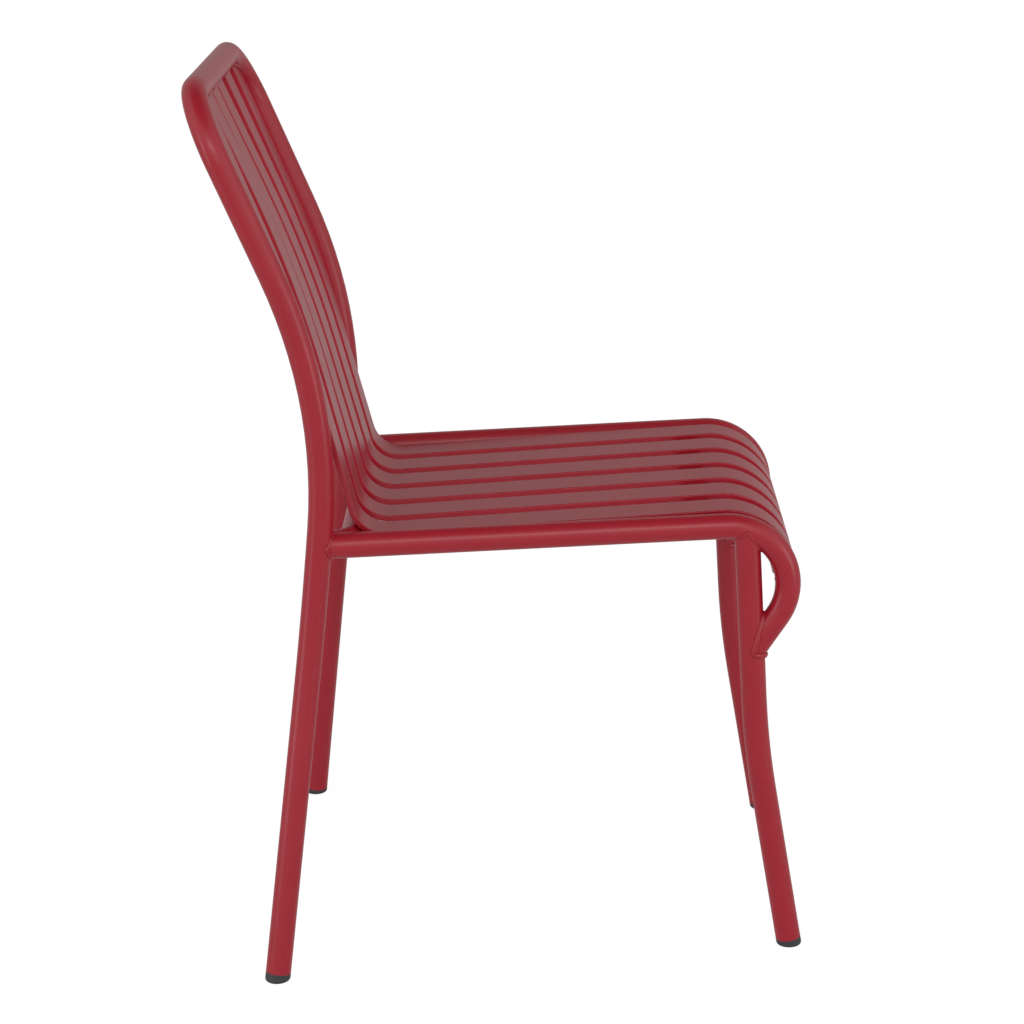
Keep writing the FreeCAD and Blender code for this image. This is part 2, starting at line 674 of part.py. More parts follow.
trim_reach = size["corner_radius"]
trim_side = top_rail.x + 2.0 * trim_reach
put("trim_straight", 2.0 * top_rail.x, "derived: straight length of the top rail's axis")
put("trim_side", 2.0 * trim_side, "derived: width of the block that trims the slats' tops")
doc.recompute()
trim_body = doc.addObject("PartDesign::Body", "top_trim")
trim_turn = FreeCAD.Rotation(V(-1, 0, 0), top_lean)
trim_sketch = attached_sketch(trim_body, "top_trim_outline", "XZ_Plane",
                              FreeCAD.Placement(V(0, top_rail.z, -top_rail.y), trim_turn))
trim_points = [
    (-top_rail.x, 0.0), (top_rail.x, 0.0), (top_rail.x + trim_reach, -trim_reach),
    (trim_side, -trim_reach), (trim_side, trim_reach), (-trim_side, trim_reach),
    (-trim_side, -trim_reach), (-top_rail.x - trim_reach, -trim_reach),
]
trim_items = []
for number, begin in enumerate(trim_points):
    end = trim_points[(number + 1) % len(trim_points)]
    if number in (1, 7):
        centre_x = top_rail.x if number == 1 else -top_rail.x
        circle = Part.Circle(V(centre_x, -trim_reach, 0), V(0, 0, 1), trim_reach)
        start = 0.0 if number == 1 else 90.0
        item = trim_sketch.addGeometry(Part.ArcOfCircle(circle, rad(start), rad(start + 90.0)), False)
        ends = (2, 1)
    else:
        segment = Part.LineSegment(V(begin[0], begin[1], 0), V(end[0], end[1], 0))
        item = trim_sketch.addGeometry(segment, False)
        ends = (1, 2)
    trim_items.append((item,) + ends)
axis_line, right_arc, right_foot, right_side, far_line, left_side, left_foot, left_arc = trim_items
for item, follower in ((right_arc, right_foot), (right_foot, right_side), (right_side, far_line),
                       (far_line, left_side), (left_side, left_foot), (left_foot, left_arc)):
    trim_sketch.addConstraint(Sketcher.Constraint("Coincident", item[0], item[2], follower[0], follower[1]))
for item in (axis_line, right_foot, left_foot):
    trim_sketch.addConstraint(Sketcher.Constraint("Horizontal", item[0]))
for item in (right_side, left_side):
    trim_sketch.addConstraint(Sketcher.Constraint("Vertical", item[0]))
trim_sketch.addConstraint(Sketcher.Constraint("Tangent", axis_line[0], 2, right_arc[0], 2))
trim_sketch.addConstraint(Sketcher.Constraint("Tangent", axis_line[0], 1, left_arc[0], 1))
trim_sketch.addConstraint(Sketcher.Constraint("Symmetric", axis_line[0], 1, axis_line[0], 2, -1, 1))
trim_sketch.addConstraint(Sketcher.Constraint("Symmetric", far_line[0], 1, far_line[0], 2, -2))
trim_sketch.addConstraint(Sketcher.Constraint("Horizontal", right_arc[0], 3, right_arc[0], 1))
trim_sketch.addConstraint(Sketcher.Constraint("Horizontal", left_arc[0], 3, left_arc[0], 2))
for item in (right_arc, left_arc):
    bind(trim_sketch, Sketcher.Constraint("Radius", item[0], trim_reach), "dims.corner_radius")
bind(trim_sketch, Sketcher.Constraint("Distance", axis_line[0], 2.0 * top_rail.x), "dims.trim_straight")
bind(trim_sketch, Sketcher.Constraint("Distance", far_line[0], 2.0 * trim_side), "dims.trim_side")
side_length = Sketcher.Constraint("Distance", right_side[0], 2.0 * trim_reach)
bind(trim_sketch, side_length, "2 * dims.corner_radius")
trim_pad = trim_body.newObject("PartDesign::Pad", "top_trim_pad")
trim_pad.Profile = trim_sketch
trim_pad.SideType = "Symmetric"
trim_pad.Length = 4.0 * outer_radius
trim_pad.setExpression("Length", "4 * dims.tube_radius")
trim_body.Tip = trim_pad

slat_direction = V(0, direction(slat_end_heading)[0], direction(slat_end_heading)[1])
for number, (ahead, lean) in enumerate(SLATS):
    x = (number - (len(SLATS) - 1) / 2.0) * size["slat_pitch"]
    label = "slat_%d" % (number + 1)
    moves = slat_moves(ahead, lean)
    put(label + "_heel_turn", moves[3][2], "derived: turn between this slat's seat and back, degrees")
    put(label + "_back_turn", -moves[5][2], "derived: turn of this slat's back, degrees")
    put(label + "_upper_run", moves[6][1], "derived: straight top of this slat")
    doc.recompute()
    names = ["slat_end_run", ("slat_nose_radius", "slat_nose_turn"), "slat_seat_run",
             ("slat_heel_radius", label + "_heel_turn"), "slat_back_run",
             ("slat_back_radius", label + "_back_turn"), label + "_upper_run"]
    offset = FreeCAD.Placement(V(0, 0, x), FreeCAD.Rotation())
    place = facing(V(x, slat_end[0], slat_end[1]), slat_direction, V(1, 0, 0))
    body, path = piped_body(label + "_blank", "YZ_Plane", offset, slat_end, slat_end_heading,
                            moves, names, slat_profile, place)
    below = cut(label + "_below", body, trim_body)
    nodes[label] = cut(label, below, hoop_cope)

# Foot plugs: a stem in the tube's bore and a cap that stands flat on the floor


def foot_plug(name, floor_point, axis):
    """Plug for a tube whose axis meets the floor at a point."""
    turn = FreeCAD.Rotation(V(0, 0, 1), axis)
    below = outer_radius
    cap = doc.addObject("Part::Cylinder", name + "_cap")
    cap.Radius = outer_radius
    cap.setExpression("Radius", "dims.tube_radius")
    cap.Height = size["plug_height"] + below
    cap.setExpression("Height", "dims.plug_height + dims.tube_radius")
    cap.Placement = FreeCAD.Placement(floor_point - axis * below, turn)
    stem = doc.addObject("Part::Cylinder", name + "_stem")
    stem.Radius = bore_radius - size["plug_clearance"]
    stem.setExpression("Radius", bore_name + " - dims.plug_clearance")
    stem.Height = size["plug_height"] + size["plug_stem"]
    stem.setExpression("Height", "dims.plug_height + dims.plug_stem")
    stem.Placement = FreeCAD.Placement(floor_point, turn)
    whole = doc.addObject("Part::Fuse", name + "_whole")
    whole.Base = cap
    whole.Tool = stem
    floor_block = doc.addObject("Part::Box", name + "_floor")
    for side in ("Length", "Width", "Height"):
        setattr(floor_block, side, 4.0 * outer_radius)
        floor_block.setExpression(side, "4 * dims.tube_radius")
    half_block = 2.0 * outer_radius
    corner = floor_point - V(half_block, half_block, 2.0 * half_block)
    floor_block.Placement = FreeCAD.Placement(corner, FreeCAD.Rotation())
    flat = cut(name + "_flat", whole, floor_block)
    doc.recompute()
    rounded = doc.addObject("Part::Fillet", name)
    rounded.Base = flat
    floor_edges = []
    for number, edge in enumerate(flat.Shape.Edges):
        if abs(edge.BoundBox.ZMax) < 0.001 and abs(edge.BoundBox.ZMin) < 0.001:
            floor_edges.append((number + 1, size["plug_rounding"], size["plug_rounding"]))
    rounded.Edges = floor_edges
    return rounded


front_direction = front_vector(leg_heading)
nodes["foot_plug_rear_left"] = foot_plug("foot_plug_rear_left", rear_foot, leg_vector)
nodes["foot_plug_front_left"] = foot_plug("foot_plug_front_left", front_point(leg_stations[0][0]),
                                          front_direction)
nodes["foot_plug_rear_right"] = mirror("foot_plug_rear_right", nodes["foot_plug_rear_left"])
nodes["foot_plug_front_right"] = mirror("foot_plug_front_right", nodes["foot_plug_front_left"])

doc.recompute()

# Check and write every piece

for item in doc.Objects:
    if "Invalid" in item.State or "Error" in item.State:
        raise RuntimeError("failed: %s %s" % (item.Name, item.State))
os.makedirs("parts", exist_ok=True)
for label, item in nodes.items():
    item.Label = label
    shape = item.Shape
    if shape.isNull() or not shape.isValid() or len(shape.Solids) != 1:
        raise RuntimeError("bad shape: %s with %d solids" % (label, len(shape.Solids)))
    shape.exportStep("parts/%s.step" % label)
    box = shape.optimalBoundingBox(False)
    print("%-22s %9.1f mm3  X %7.1f %7.1f  Y %7.1f %7.1f  Z %6.1f %6.1f" % (
        label, shape.Volume, box.XMin, box.XMax, box.YMin, box.YMax, box.ZMin, box.ZMax))
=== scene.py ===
import logging
import math
from dataclasses import dataclass, field
from enum import Enum
from typing import Any, Optional

import bmesh
import bpy
from mathutils import Matrix, Vector


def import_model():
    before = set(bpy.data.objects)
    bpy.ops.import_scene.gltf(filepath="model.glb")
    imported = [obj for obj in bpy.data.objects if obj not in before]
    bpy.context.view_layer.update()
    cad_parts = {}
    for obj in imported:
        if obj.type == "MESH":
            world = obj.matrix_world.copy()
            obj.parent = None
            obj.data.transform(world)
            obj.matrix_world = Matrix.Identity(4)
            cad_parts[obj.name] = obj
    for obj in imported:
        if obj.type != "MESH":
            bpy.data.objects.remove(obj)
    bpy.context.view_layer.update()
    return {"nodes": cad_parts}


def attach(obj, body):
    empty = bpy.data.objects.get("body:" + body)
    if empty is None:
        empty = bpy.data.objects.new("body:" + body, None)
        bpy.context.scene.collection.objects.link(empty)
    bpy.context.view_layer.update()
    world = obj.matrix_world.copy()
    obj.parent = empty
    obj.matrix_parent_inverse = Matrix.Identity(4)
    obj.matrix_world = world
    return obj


logging.basicConfig(level=logging.INFO, format="%(message)s")
LOG = logging.getLogger("bistro_chair")

MM = 0.001
BODY = "root"


class Slot(Enum):
    """Material slots of the record."""

    PAINT = "frame_paint"
    PLUG = "plug_plastic"


class Side(Enum):
    """Sides of the chair, with the sign of X."""

    LEFT = 1.0
    RIGHT = -1.0


def linear(hex_colour: str) -> tuple[float, float, float, float]:
    """Turn an sRGB hex colour into linear RGBA.

    Args:
        hex_colour: six hex digits, such as "9b3238".

    Returns:
        The linear colour with an alpha of 1.
    """
    channels = []
    for start in (0, 2, 4):
        value = int(hex_colour[start:start + 2], 16) / 255.0
        channels.append(value / 12.92 if value <= 0.04045 else ((value + 0.055) / 1.055) ** 2.4)
    return (channels[0], channels[1], channels[2], 1.0)


def add_node(tree: bpy.types.NodeTree, kind: str, inputs: Optional[dict[Any, Any]] = None,
             **settings: Any) -> bpy.types.Node:
    """Add one node with its settings, socket values and links.

    Args:
        tree: node tree that gets the node.
        kind: the node's type name.
        inputs: socket name or number to a value, or to an output socket to link from.
        settings: attributes of the node itself.

    Returns:
        The new node.
    """
    node = tree.nodes.new(kind)
    for name, value in settings.items():
        setattr(node, name, value)
    for name, value in (inputs or {}).items():
        if isinstance(value, bpy.types.NodeSocket):
            tree.links.new(value, node.inputs[name])
        else:
            node.inputs[name].default_value = value
    return node


def blank_material(name: str) -> bpy.types.Material:
    """Make a material with an empty node tree."""
    material = bpy.data.materials.new(name)
    material.use_nodes = True
    material.node_tree.nodes.clear()
    return material


@dataclass(frozen=True)
class PowderCoat:
    """Satin polyester powder coat on aluminium.

    The blotch makes the red uneven by a shade, the peel breaks up the edges of the shines.
    """

    name: str = "polyester_powder_coat"
    colour: str = "a51628"
    shade: str = "9c1224"
    roughness: float = 0.31
    ior: float = 1.5
    gloss_spread: float = 0.03
    peel_mm: float = 1.6
    peel_height_mm: float = 0.012
    peel_strength: float = 0.35
    blotch_mm: float = 45.0

    def build(self) -> bpy.types.Material:
        """Return the finished material."""
        material = blank_material(self.name)
        tree = material.node_tree
        place = add_node(tree, "ShaderNodeTexCoord").outputs["Object"]
        blotch = add_node(tree, "ShaderNodeTexNoise",
                          {"Vector": place, "Scale": 1.0 / (self.blotch_mm * MM), "Detail": 3.0})
        colour = add_node(tree, "ShaderNodeMix",
                          {0: blotch.outputs["Fac"], 6: linear(self.shade), 7: linear(self.colour)},
                          data_type="RGBA")
        peel = add_node(tree, "ShaderNodeTexNoise",
                        {"Vector": place, "Scale": 1.0 / (self.peel_mm * MM), "Detail": 2.0})
        bump = add_node(tree, "ShaderNodeBump",
                        {"Height": peel.outputs["Fac"], "Strength": self.peel_strength,
                         "Distance": self.peel_height_mm * MM})
        gloss = add_node(tree, "ShaderNodeMapRange",
                         {"Value": peel.outputs["Fac"], "To Min": self.roughness - self.gloss_spread,
                          "To Max": self.roughness + self.gloss_spread})
        shader = add_node(tree, "ShaderNodeBsdfPrincipled",
                          {"Base Color": colour.outputs[2], "Roughness": gloss.outputs["Result"],
                           "IOR": self.ior, "Normal": bump.outputs["Normal"]})
        add_node(tree, "ShaderNodeOutputMaterial", {"Surface": shader.outputs["BSDF"]})
        return material


@dataclass(frozen=True)
class PlugPlastic:
    """Black moulded polyethylene: dull, with a fine grain that lets it look grey in the light."""

    name: str = "moulded_polyethylene"
    colour: str = "2b2c2e"
    worn: str = "3d3e40"
    roughness: float = 0.55
    ior: float = 1.51
    grain_mm: float = 0.8
    grain_height_mm: float = 0.03
    grain_strength: float = 0.5

    def build(self) -> bpy.types.Material:
        """Return the finished material."""
        material = blank_material(self.name)
        tree = material.node_tree
        place = add_node(tree, "ShaderNodeTexCoord").outputs["Object"]
        grain = add_node(tree, "ShaderNodeTexNoise",
                         {"Vector": place, "Scale": 1.0 / (self.grain_mm * MM), "Detail": 4.0})
        colour = add_node(tree, "ShaderNodeMix",
                          {0: grain.outputs["Fac"], 6: linear(self.colour), 7: linear(self.worn)},
                          data_type="RGBA")
        bump = add_node(tree, "ShaderNodeBump",
                        {"Height": grain.outputs["Fac"], "Strength": self.grain_strength,
                         "Distance": self.grain_height_mm * MM})
        shader = add_node(tree, "ShaderNodeBsdfPrincipled",
                          {"Base Color": colour.outputs[2], "Roughness": self.roughness,
                           "IOR": self.ior, "Normal": bump.outputs["Normal"]})
        add_node(tree, "ShaderNodeOutputMaterial", {"Surface": shader.outputs["BSDF"]})
        return material


@dataclass(frozen=True)
class StudioFloor:
    """Matt white paper: to the camera nearly white by itself, and darker where a shadow falls."""

    name: str = "white_paper_floor"
    colour: str = "f2f2f2"
    seen_colour: str = "7f7f7f"
    seen_glow: float = 0.905

    def build(self) -> bpy.types.Material:
        """Return the finished material."""
        material = blank_material(self.name)
        tree = material.node_tree
        paper = add_node(tree, "ShaderNodeBsdfDiffuse", {"Color": linear(self.colour)})
        seen = add_node(tree, "ShaderNodeBsdfDiffuse", {"Color": linear(self.seen_colour)})
        glow = add_node(tree, "ShaderNodeEmission", {"Strength": self.seen_glow})
        both = add_node(tree, "ShaderNodeAddShader", {0: seen.outputs[0], 1: glow.outputs[0]})
        ray = add_node(tree, "ShaderNodeLightPath")
        shader = add_node(tree, "ShaderNodeMixShader",
                          {0: ray.outputs["Is Camera Ray"], 1: paper.outputs[0], 2: both.outputs[0]})
        add_node(tree, "ShaderNodeOutputMaterial", {"Surface": shader.outputs[0]})
        return material


@dataclass
class CadDressing:
    """Finishes for the nodes that come from the CAD model."""

    finishes: dict[Slot, bpy.types.Material]

    def dress(self, nodes: dict[str, bpy.types.Object]) -> None:
        """Give every node its finish.

        Args:
            nodes: node name to object.
        """
        for name, node in nodes.items():
            finish = self.finishes[Slot.PLUG if name.startswith("foot_plug") else Slot.PAINT]
            node.data.materials.clear()
            node.data.materials.append(finish)
            LOG.info("dressed %s with %s", name, finish.name)


@dataclass
class TubePath:
    """Axes of one or more tubes near a joint, each as a chain of points in millimetres."""

    chains: list[list[Vector]]
    pace_mm: float = 1.0
    halvings: int = 20

    def distance(self, place: Vector) -> float:
        """Shortest distance from the axes.

        Args:
            place: point in millimetres.

        Returns:
            The distance in millimetres.
        """
        nearest = math.inf
        for points in self.chains:
            for start, end in zip(points, points[1:]):
                along = end - start
                share = (place - start).dot(along) / along.length_squared
                foot = start + along * min(1.0, max(0.0, share))
                nearest = min(nearest, (place - foot).length)
        return nearest

    def meet(self, start: Vector, along: Vector, reach: float, longest: float = 120.0) -> Vector:
        """Go from a point along a direction until an axis is as near as wanted.

        Args:
            start: first point, farther from the axes than the reach.
            along: unit direction of the way.
            reach: wanted distance from the nearest axis.
            longest: length of the way.

        Returns:
            The point where the way comes within reach, or its nearest point if it passes by.
        """
        gone = 0.0
        nearest, nearest_gone = self.distance(start), 0.0
        while gone < longest:
            gone += self.pace_mm
            away = self.distance(start + along * gone)
            if away < nearest:
                nearest, nearest_gone = away, gone
            if away <= reach:
                break
        if nearest > reach:
            return start + along * nearest_gone
        low, high = gone - self.pace_mm, gone
        for _ in range(self.halvings):
            middle = (low + high) / 2.0
            if self.distance(start + along * middle) > reach:
                low = middle
            else:
                high = middle
        return start + along * low


def bend(centre: Vector, arm: Vector, normal: Vector, degrees: float, steps: int = 40) -> list[Vector]:
    """Points along a circular bend.

    Args:
        centre: centre of the bend.
        arm: from the centre to the first point.
        normal: axis of the turn.
        degrees: angle of the turn.
        steps: number of chords.

    Returns:
        The points, from the first to the last.
    """
    points = []
    for number in range(steps + 1):
        turn = Matrix.Rotation(math.radians(degrees) * number / steps, 3, normal)
        points.append(centre + turn @ arm)
    return points


@dataclass
class WeldBead:
    """Hand-laid weld bead under the paint: a thin roll with soft ripples."""

    radius_mm: float = 2.1
    ripple_mm: float = 0.28
    ripple_pitch_mm: float = 4.2
    end_share: float = 0.45
    sides: int = 10

    def lay(self, shape: bmesh.types.BMesh, track: list[tuple[Vector, Vector]], closed: bool) -> None:
        """Add one bead along a track.

        Args:
            shape: mesh that gets the bead.
            track: points in millimetres, each with a direction across the bead.
            closed: True for a bead that runs round a tube.
        """
        count = len(track)
        rings = []
        gone = 0.0
        for number, (place, across) in enumerate(track):
            before = track[(number - 1) % count] if closed else track[max(0, number - 1)]
            after = track[(number + 1) % count] if closed else track[min(count - 1, number + 1)]
            tangent = (after[0] - before[0]).normalized()
            first = (across - tangent * across.dot(tangent)).normalized()
            second = tangent.cross(first)
            gone += (place - track[number - 1][0]).length if number else 0.0
            wave = math.sin(2.0 * math.pi * gone / self.ripple_pitch_mm)
            radius = self.radius_mm + self.ripple_mm * wave
            if not closed and number in (0, count - 1):
                radius *= self.end_share
            turn = Matrix((first, second, tangent)).transposed().to_4x4()
            ring = bmesh.ops.create_circle(shape, segments=self.sides, radius=radius * MM,
                                           matrix=Matrix.Translation(place * MM) @ turn)
            edges = {edge for vert in ring["verts"] for edge in vert.link_edges}
            rings.append(list(edges))
        pairs = list(zip(rings, rings[1:]))
        if closed:
            pairs.append((rings[-1], rings[0]))
        else:
            bmesh.ops.contextual_create(shape, geom=rings[0])
            bmesh.ops.contextual_create(shape, geom=rings[-1])
        for ring, follower in pairs:
            bmesh.ops.bridge_loops(shape, edges=ring + follower)

    def build(self, name: str, tracks: list[list[tuple[Vector, Vector]]], closed: bool,
              paint: bpy.types.Material) -> bpy.types.Object:
        """Make one piece from one or more beads.

        Args:
            name: name of the piece.
            tracks: one track for each bead.
            closed: True for beads that run round a tube.
            paint: finish of the piece.

        Returns:
            The piece, welded to the chair.
        """
        shape = bmesh.new()
        for track in tracks:
            self.lay(shape, track, closed)
        bmesh.ops.recalc_face_normals(shape, faces=shape.faces[:])
        for face in shape.faces:
            face.smooth = True
        mesh = bpy.data.meshes.new(name)
        shape.to_mesh(mesh)
        shape.free()
        piece = bpy.data.objects.new(name, mesh)
        bpy.context.scene.collection.objects.link(piece)
        mesh.materials.append(paint)
        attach(piece, BODY)
        LOG.info("built %s with %d faces", name, len(mesh.polygons))
        return piece


@dataclass
class FrameWelds:
    """Beads round the tube ends of the frame, sizes in millimetres on the left-hand side.

    The starts lie on the axis of the tube that ends at a joint, clear of the tube it ends on.
    """

    tube_radius: float = 12.5
    leg_start: float = 125.0
    tail_start: float = -15.0
    elbow_start: float = -40.0
    rail_start_before: float = 55.0
    line_reach: float = 200.0
    leg_point: Vector = field(default_factory=lambda: Vector((185.007, -245.008, 267.603)))
    leg_along: Vector = field(default_factory=lambda: Vector((0.0113, 0.0436, 0.9990)))
    loop_centre: Vector = field(default_factory=lambda: Vector((186.331, -218.5, 384.275)))
    loop_radius: float = 59.0
    loop_turn: float = 126.2
    loop_end: Vector = field(default_factory=lambda: Vector((185.955, -267.315, 351.140)))
    tail_end: Vector = field(default_factory=lambda: Vector((185.548, -242.929, 315.218)))
    front_tilt: float = 0.65
    rail_start: Vector = field(default_factory=lambda: Vector((186.844, 171.903, 429.472)))
    rail_slope: float = 2.03
    upright_point: Vector = field(default_factory=lambda: Vector((190.794, 177.535, 430.381)))
    upright_along: Vector = field(default_factory=lambda: Vector((0.0, -0.1083, 0.9941)))
    elbow_radius: float = 28.0
    elbow_turn: float = 55.0
    elbow_run: float = 23.606
    bead_radii: dict[str, float] = field(default_factory=lambda: {
        "weld_leg_rail": 1.3,
        "weld_loop_leg": 2.9,
        "weld_cross_upright": 2.0,
        "weld_rail_cross": 1.6,
    })
    stations: int = 72

    def around(self, start: Vector, along: Vector, target: TubePath) -> list[tuple[Vector, Vector]]:
        """Track where the skin of a tube meets the skin of another.

        Args:
            start: point on the axis of the tube that ends at the joint.
            along: unit direction of its axis, towards the joint.
            target: axis of the tube it ends on.

        Returns:
            The closed track, each point with its direction away from the tube's axis.
        """
        side = along.orthogonal().normalized()
        other = along.cross(side)
        track = []
        for number in range(self.stations):
            angle = 2.0 * math.pi * number / self.stations
            out = side * math.cos(angle) + other * math.sin(angle)
            track.append((target.meet(start + out * self.tube_radius, along, self.tube_radius), out))
        return track

    def loop_path(self) -> TubePath:
        """Return the axis of the loop and of the rail just behind it."""
        tilt = math.radians(self.front_tilt)
        slope = math.radians(self.rail_slope)
        normal = Vector((math.cos(tilt), 0.0, -math.sin(tilt)))
        up = Vector((math.sin(tilt), 0.0, math.cos(tilt)))
        arm = (Vector((0.0, math.sin(slope), 0.0)) + up * math.cos(slope)) * self.loop_radius
        turned = bend(self.loop_centre, arm, normal, self.loop_turn)
        return TubePath([[self.rail_start] + turned])

    def cross_path(self) -> TubePath:
        """Return the axis of the cross tube from the upright to its straight middle."""
        turn = math.radians(self.elbow_turn)
        inward = Vector((-math.cos(turn), -math.sin(turn), 0.0))
        elbow_start = self.upright_point + inward * self.elbow_run
        arm = Vector((math.sin(turn), -math.cos(turn), 0.0)) * self.elbow_radius
        turned = bend(elbow_start - arm, arm, Vector((0.0, 0.0, 1.0)), -self.elbow_turn)
        return TubePath([[self.upright_point] + turned + [turned[-1] - Vector((self.line_reach, 0.0, 0.0))]])

    def build(self, paint: bpy.types.Material) -> list[bpy.types.Object]:
        """Lay the beads of both sides.

        Args:
            paint: finish of the beads.

        Returns:
            The new pieces.
        """
        leg_way = self.leg_along * self.line_reach
        leg = TubePath([[self.leg_point - leg_way, self.leg_point + leg_way]])
        upright_way = self.upright_along * self.line_reach
        upright = TubePath([[self.upright_point - upright_way, self.upright_point + upright_way]])
        behind = TubePath(self.cross_path().chains + upright.chains)
        tail_along = (self.tail_end - self.loop_end).normalized()
        turn = math.radians(self.elbow_turn)
        outward = Vector((math.cos(turn), math.sin(turn), 0.0))
        slope = math.radians(self.rail_slope)
        backward = Vector((0.0, math.cos(slope), -math.sin(slope)))
        tracks = {
            "weld_leg_rail": self.around(self.leg_point + self.leg_along * self.leg_start,
                                         self.leg_along, self.loop_path()),
            "weld_loop_leg": self.around(self.loop_end + tail_along * self.tail_start, tail_along,
                                         leg),
            "weld_cross_upright": self.around(self.upright_point + outward * self.elbow_start, outward,
                                              upright),
            "weld_rail_cross": self.around(self.rail_start - backward * self.rail_start_before,
                                           backward, behind),
        }
        pieces = []
        for joint, track in tracks.items():
            bead = WeldBead(radius_mm=self.bead_radii[joint])
            for side in Side:
                mirrored = []
                for place, out in track:
                    flip = Vector((side.value, 1.0, 1.0))
                    mirrored.append((place * flip, out * flip))
                name = joint + "_" + side.name.lower()
                pieces.append(bead.build(name, [mirrored], True, paint))
        return pieces


@dataclass
class SlatWelds:
    """Beads across the slats at the cross tube, the cross bar and the top rail, in millimetres."""

    pitch: float = 59.0
    thickness: float = 6.0
    tube_radius: float = 12.5
    bead_length: float = 30.0
    sunk: float = 1.2
    heel_centre: Vector = field(default_factory=lambda: Vector((0.0, 113.149, 467.475)))
    heel_radius: float = 34.2
    cross_axis: Vector = field(default_factory=lambda: Vector((0.0, 146.258, 430.381)))
    bar_place: Vector = field(default_factory=lambda: Vector((0.0, -192.920, 449.801)))
    bar_width: float = 25.0
    seat_slope: float = 3.1
    top_rail: Vector = field(default_factory=lambda: Vector((133.299, 281.498, 867.525)))
    top_lean: float = 22.514
    corner_turn: float = 80.0
    below_top: float = 60.0
    corner_radius: float = 65.0
    top_zone: float = 30.0
    facing_share: float = 0.5
    stations: int = 17

    def across(self, middle: float, place: Vector) -> list[tuple[Vector, Vector]]:
        """Straight track across a slat.

        Args:
            middle: X of the slat's middle line.
            place: point that gives Y and Z.

        Returns:
            The open track.
        """
        track = []
        for number in range(self.stations):
            x = middle + self.bead_length * (number / (self.stations - 1) - 0.5)
            track.append((Vector((x, place.y, place.z)), Vector((0.0, 1.0, 0.0))))
        return track

    def heel_places(self) -> list[Vector]:
        """Return the two grooves between the slats' heel and the cross tube."""
        near = self.tube_radius + self.sunk
        far = self.heel_radius + self.thickness / 2.0 + self.sunk
        line = self.cross_axis - self.heel_centre
        share = (far ** 2 - near ** 2 + line.length_squared) / (2.0 * line.length)
        off = math.sqrt(far ** 2 - share ** 2)
        along = line.normalized()
        foot = self.heel_centre + along * share
        sideways = Vector((0.0, -along.z, along.y)) * off
        return [foot + sideways, foot - sideways]

    def bar_places(self) -> list[Vector]:
        """Return the two grooves between the slats and the edges of the cross bar."""
        slope = math.radians(self.seat_slope)
        along = Vector((0.0, math.cos(slope), -math.sin(slope)))
        down = Vector((0.0, -math.sin(slope), -math.cos(slope)))
        reach = self.bar_width / 2.0 + self.sunk / 2.0
        under = self.bar_place + down * (self.thickness / 2.0 + self.sunk / 2.0)
        return [under + along * reach, under - along * reach]

    def hoop_path(self) -> TubePath:
        """Return the axis of the top rail with its two corners."""
        lean = math.radians(self.top_lean)
        normal = Vector((0.0, -math.cos(lean), math.sin(lean)))
        up = Vector((0.0, math.sin(lean), math.cos(lean)))
        right_end = self.top_rail
        left_end = self.top_rail * Vector((-1.0, 1.0, 1.0))
        arm = up * self.corner_radius
        one = bend(right_end - arm, arm, normal, -self.corner_turn)
        other = bend(left_end - arm, arm, normal, self.corner_turn)
        return TubePath([list(reversed(one)) + other])

    def read_top(self, slat: bpy.types.Object) -> tuple[Vector, Vector]:
        """Read from a slat's mesh how its straight upper end lies.

        Args:
            slat: CAD node of the slat.

        Returns:
            The place on its middle plane beside the top rail's axis, and the back's unit normal.
        """
        corners = slat.data.vertices
        lowest = max(corner.co.z for corner in corners) - self.top_zone * MM
        widest = []
        for face in (1.0, -1.0):
            flat = [part for part in slat.data.polygons
                    if part.normal.y * face > self.facing_share
                    and max(corners[number].co.z for number in part.vertices) > lowest]
            widest.append(max(flat, key=lambda part: part.area))
        back, front = widest
        across = back.normal - front.normal
        out = Vector((0.0, across.y, across.z)).normalized()
        level = (back.center + front.center).dot(out) / (2.0 * MM)
        axis = Vector((0.0, self.top_rail.y, self.top_rail.z))
        return axis + out * (level - axis.dot(out)), out

    def top_track(self, middle: float, top: tuple[Vector, Vector], face: float,
                  hoop: TubePath) -> list[tuple[Vector, Vector]]:
        """Track along one face of a slat where it meets the top rail.

        Args:
            middle: X of the slat's middle line.
            top: place on the slat's middle plane at the top rail, and the back's unit normal.
            face: 1 for the back face, -1 for the front face.
            hoop: axis of the top rail.

        Returns:
            The open track.
        """
        place, back = top
        along = Vector((0.0, -back.z, back.y))
        out = back * face
        offset = out * (self.thickness / 2.0 + self.sunk / 2.0)
        track = []
        for number in range(self.stations):
            x = middle + self.bead_length * (number / (self.stations - 1) - 0.5)
            start = Vector((x, place.y, place.z)) + offset - along * self.below_top
            track.append((hoop.meet(start, along, self.tube_radius + self.sunk / 2.0), out))
        return track

    def build(self, bead: WeldBead, paint: bpy.types.Material,
              slats: list[bpy.types.Object]) -> list[bpy.types.Object]:
        """Lay the beads of all slats.

        Args:
            bead: kind of bead.
            paint: finish of the beads.
            slats: CAD nodes of the slats, in order along X.

        Returns:
            The new pieces.
        """
        hoop = self.hoop_path()
        pieces = []
        for number, slat in enumerate(slats):
            middle = (number - (len(slats) - 1) / 2.0) * self.pitch
            top = self.read_top(slat)
            under = [self.across(middle, place) for place in self.heel_places() + self.bar_places()]
            upper = [self.top_track(middle, top, face, hoop) for face in (1.0, -1.0)]
            label = "weld_slat_%d" % (number + 1)
            pieces.append(bead.build(label + "_under", under, False, paint))
            pieces.append(bead.build(label + "_top", upper, False, paint))
        return pieces


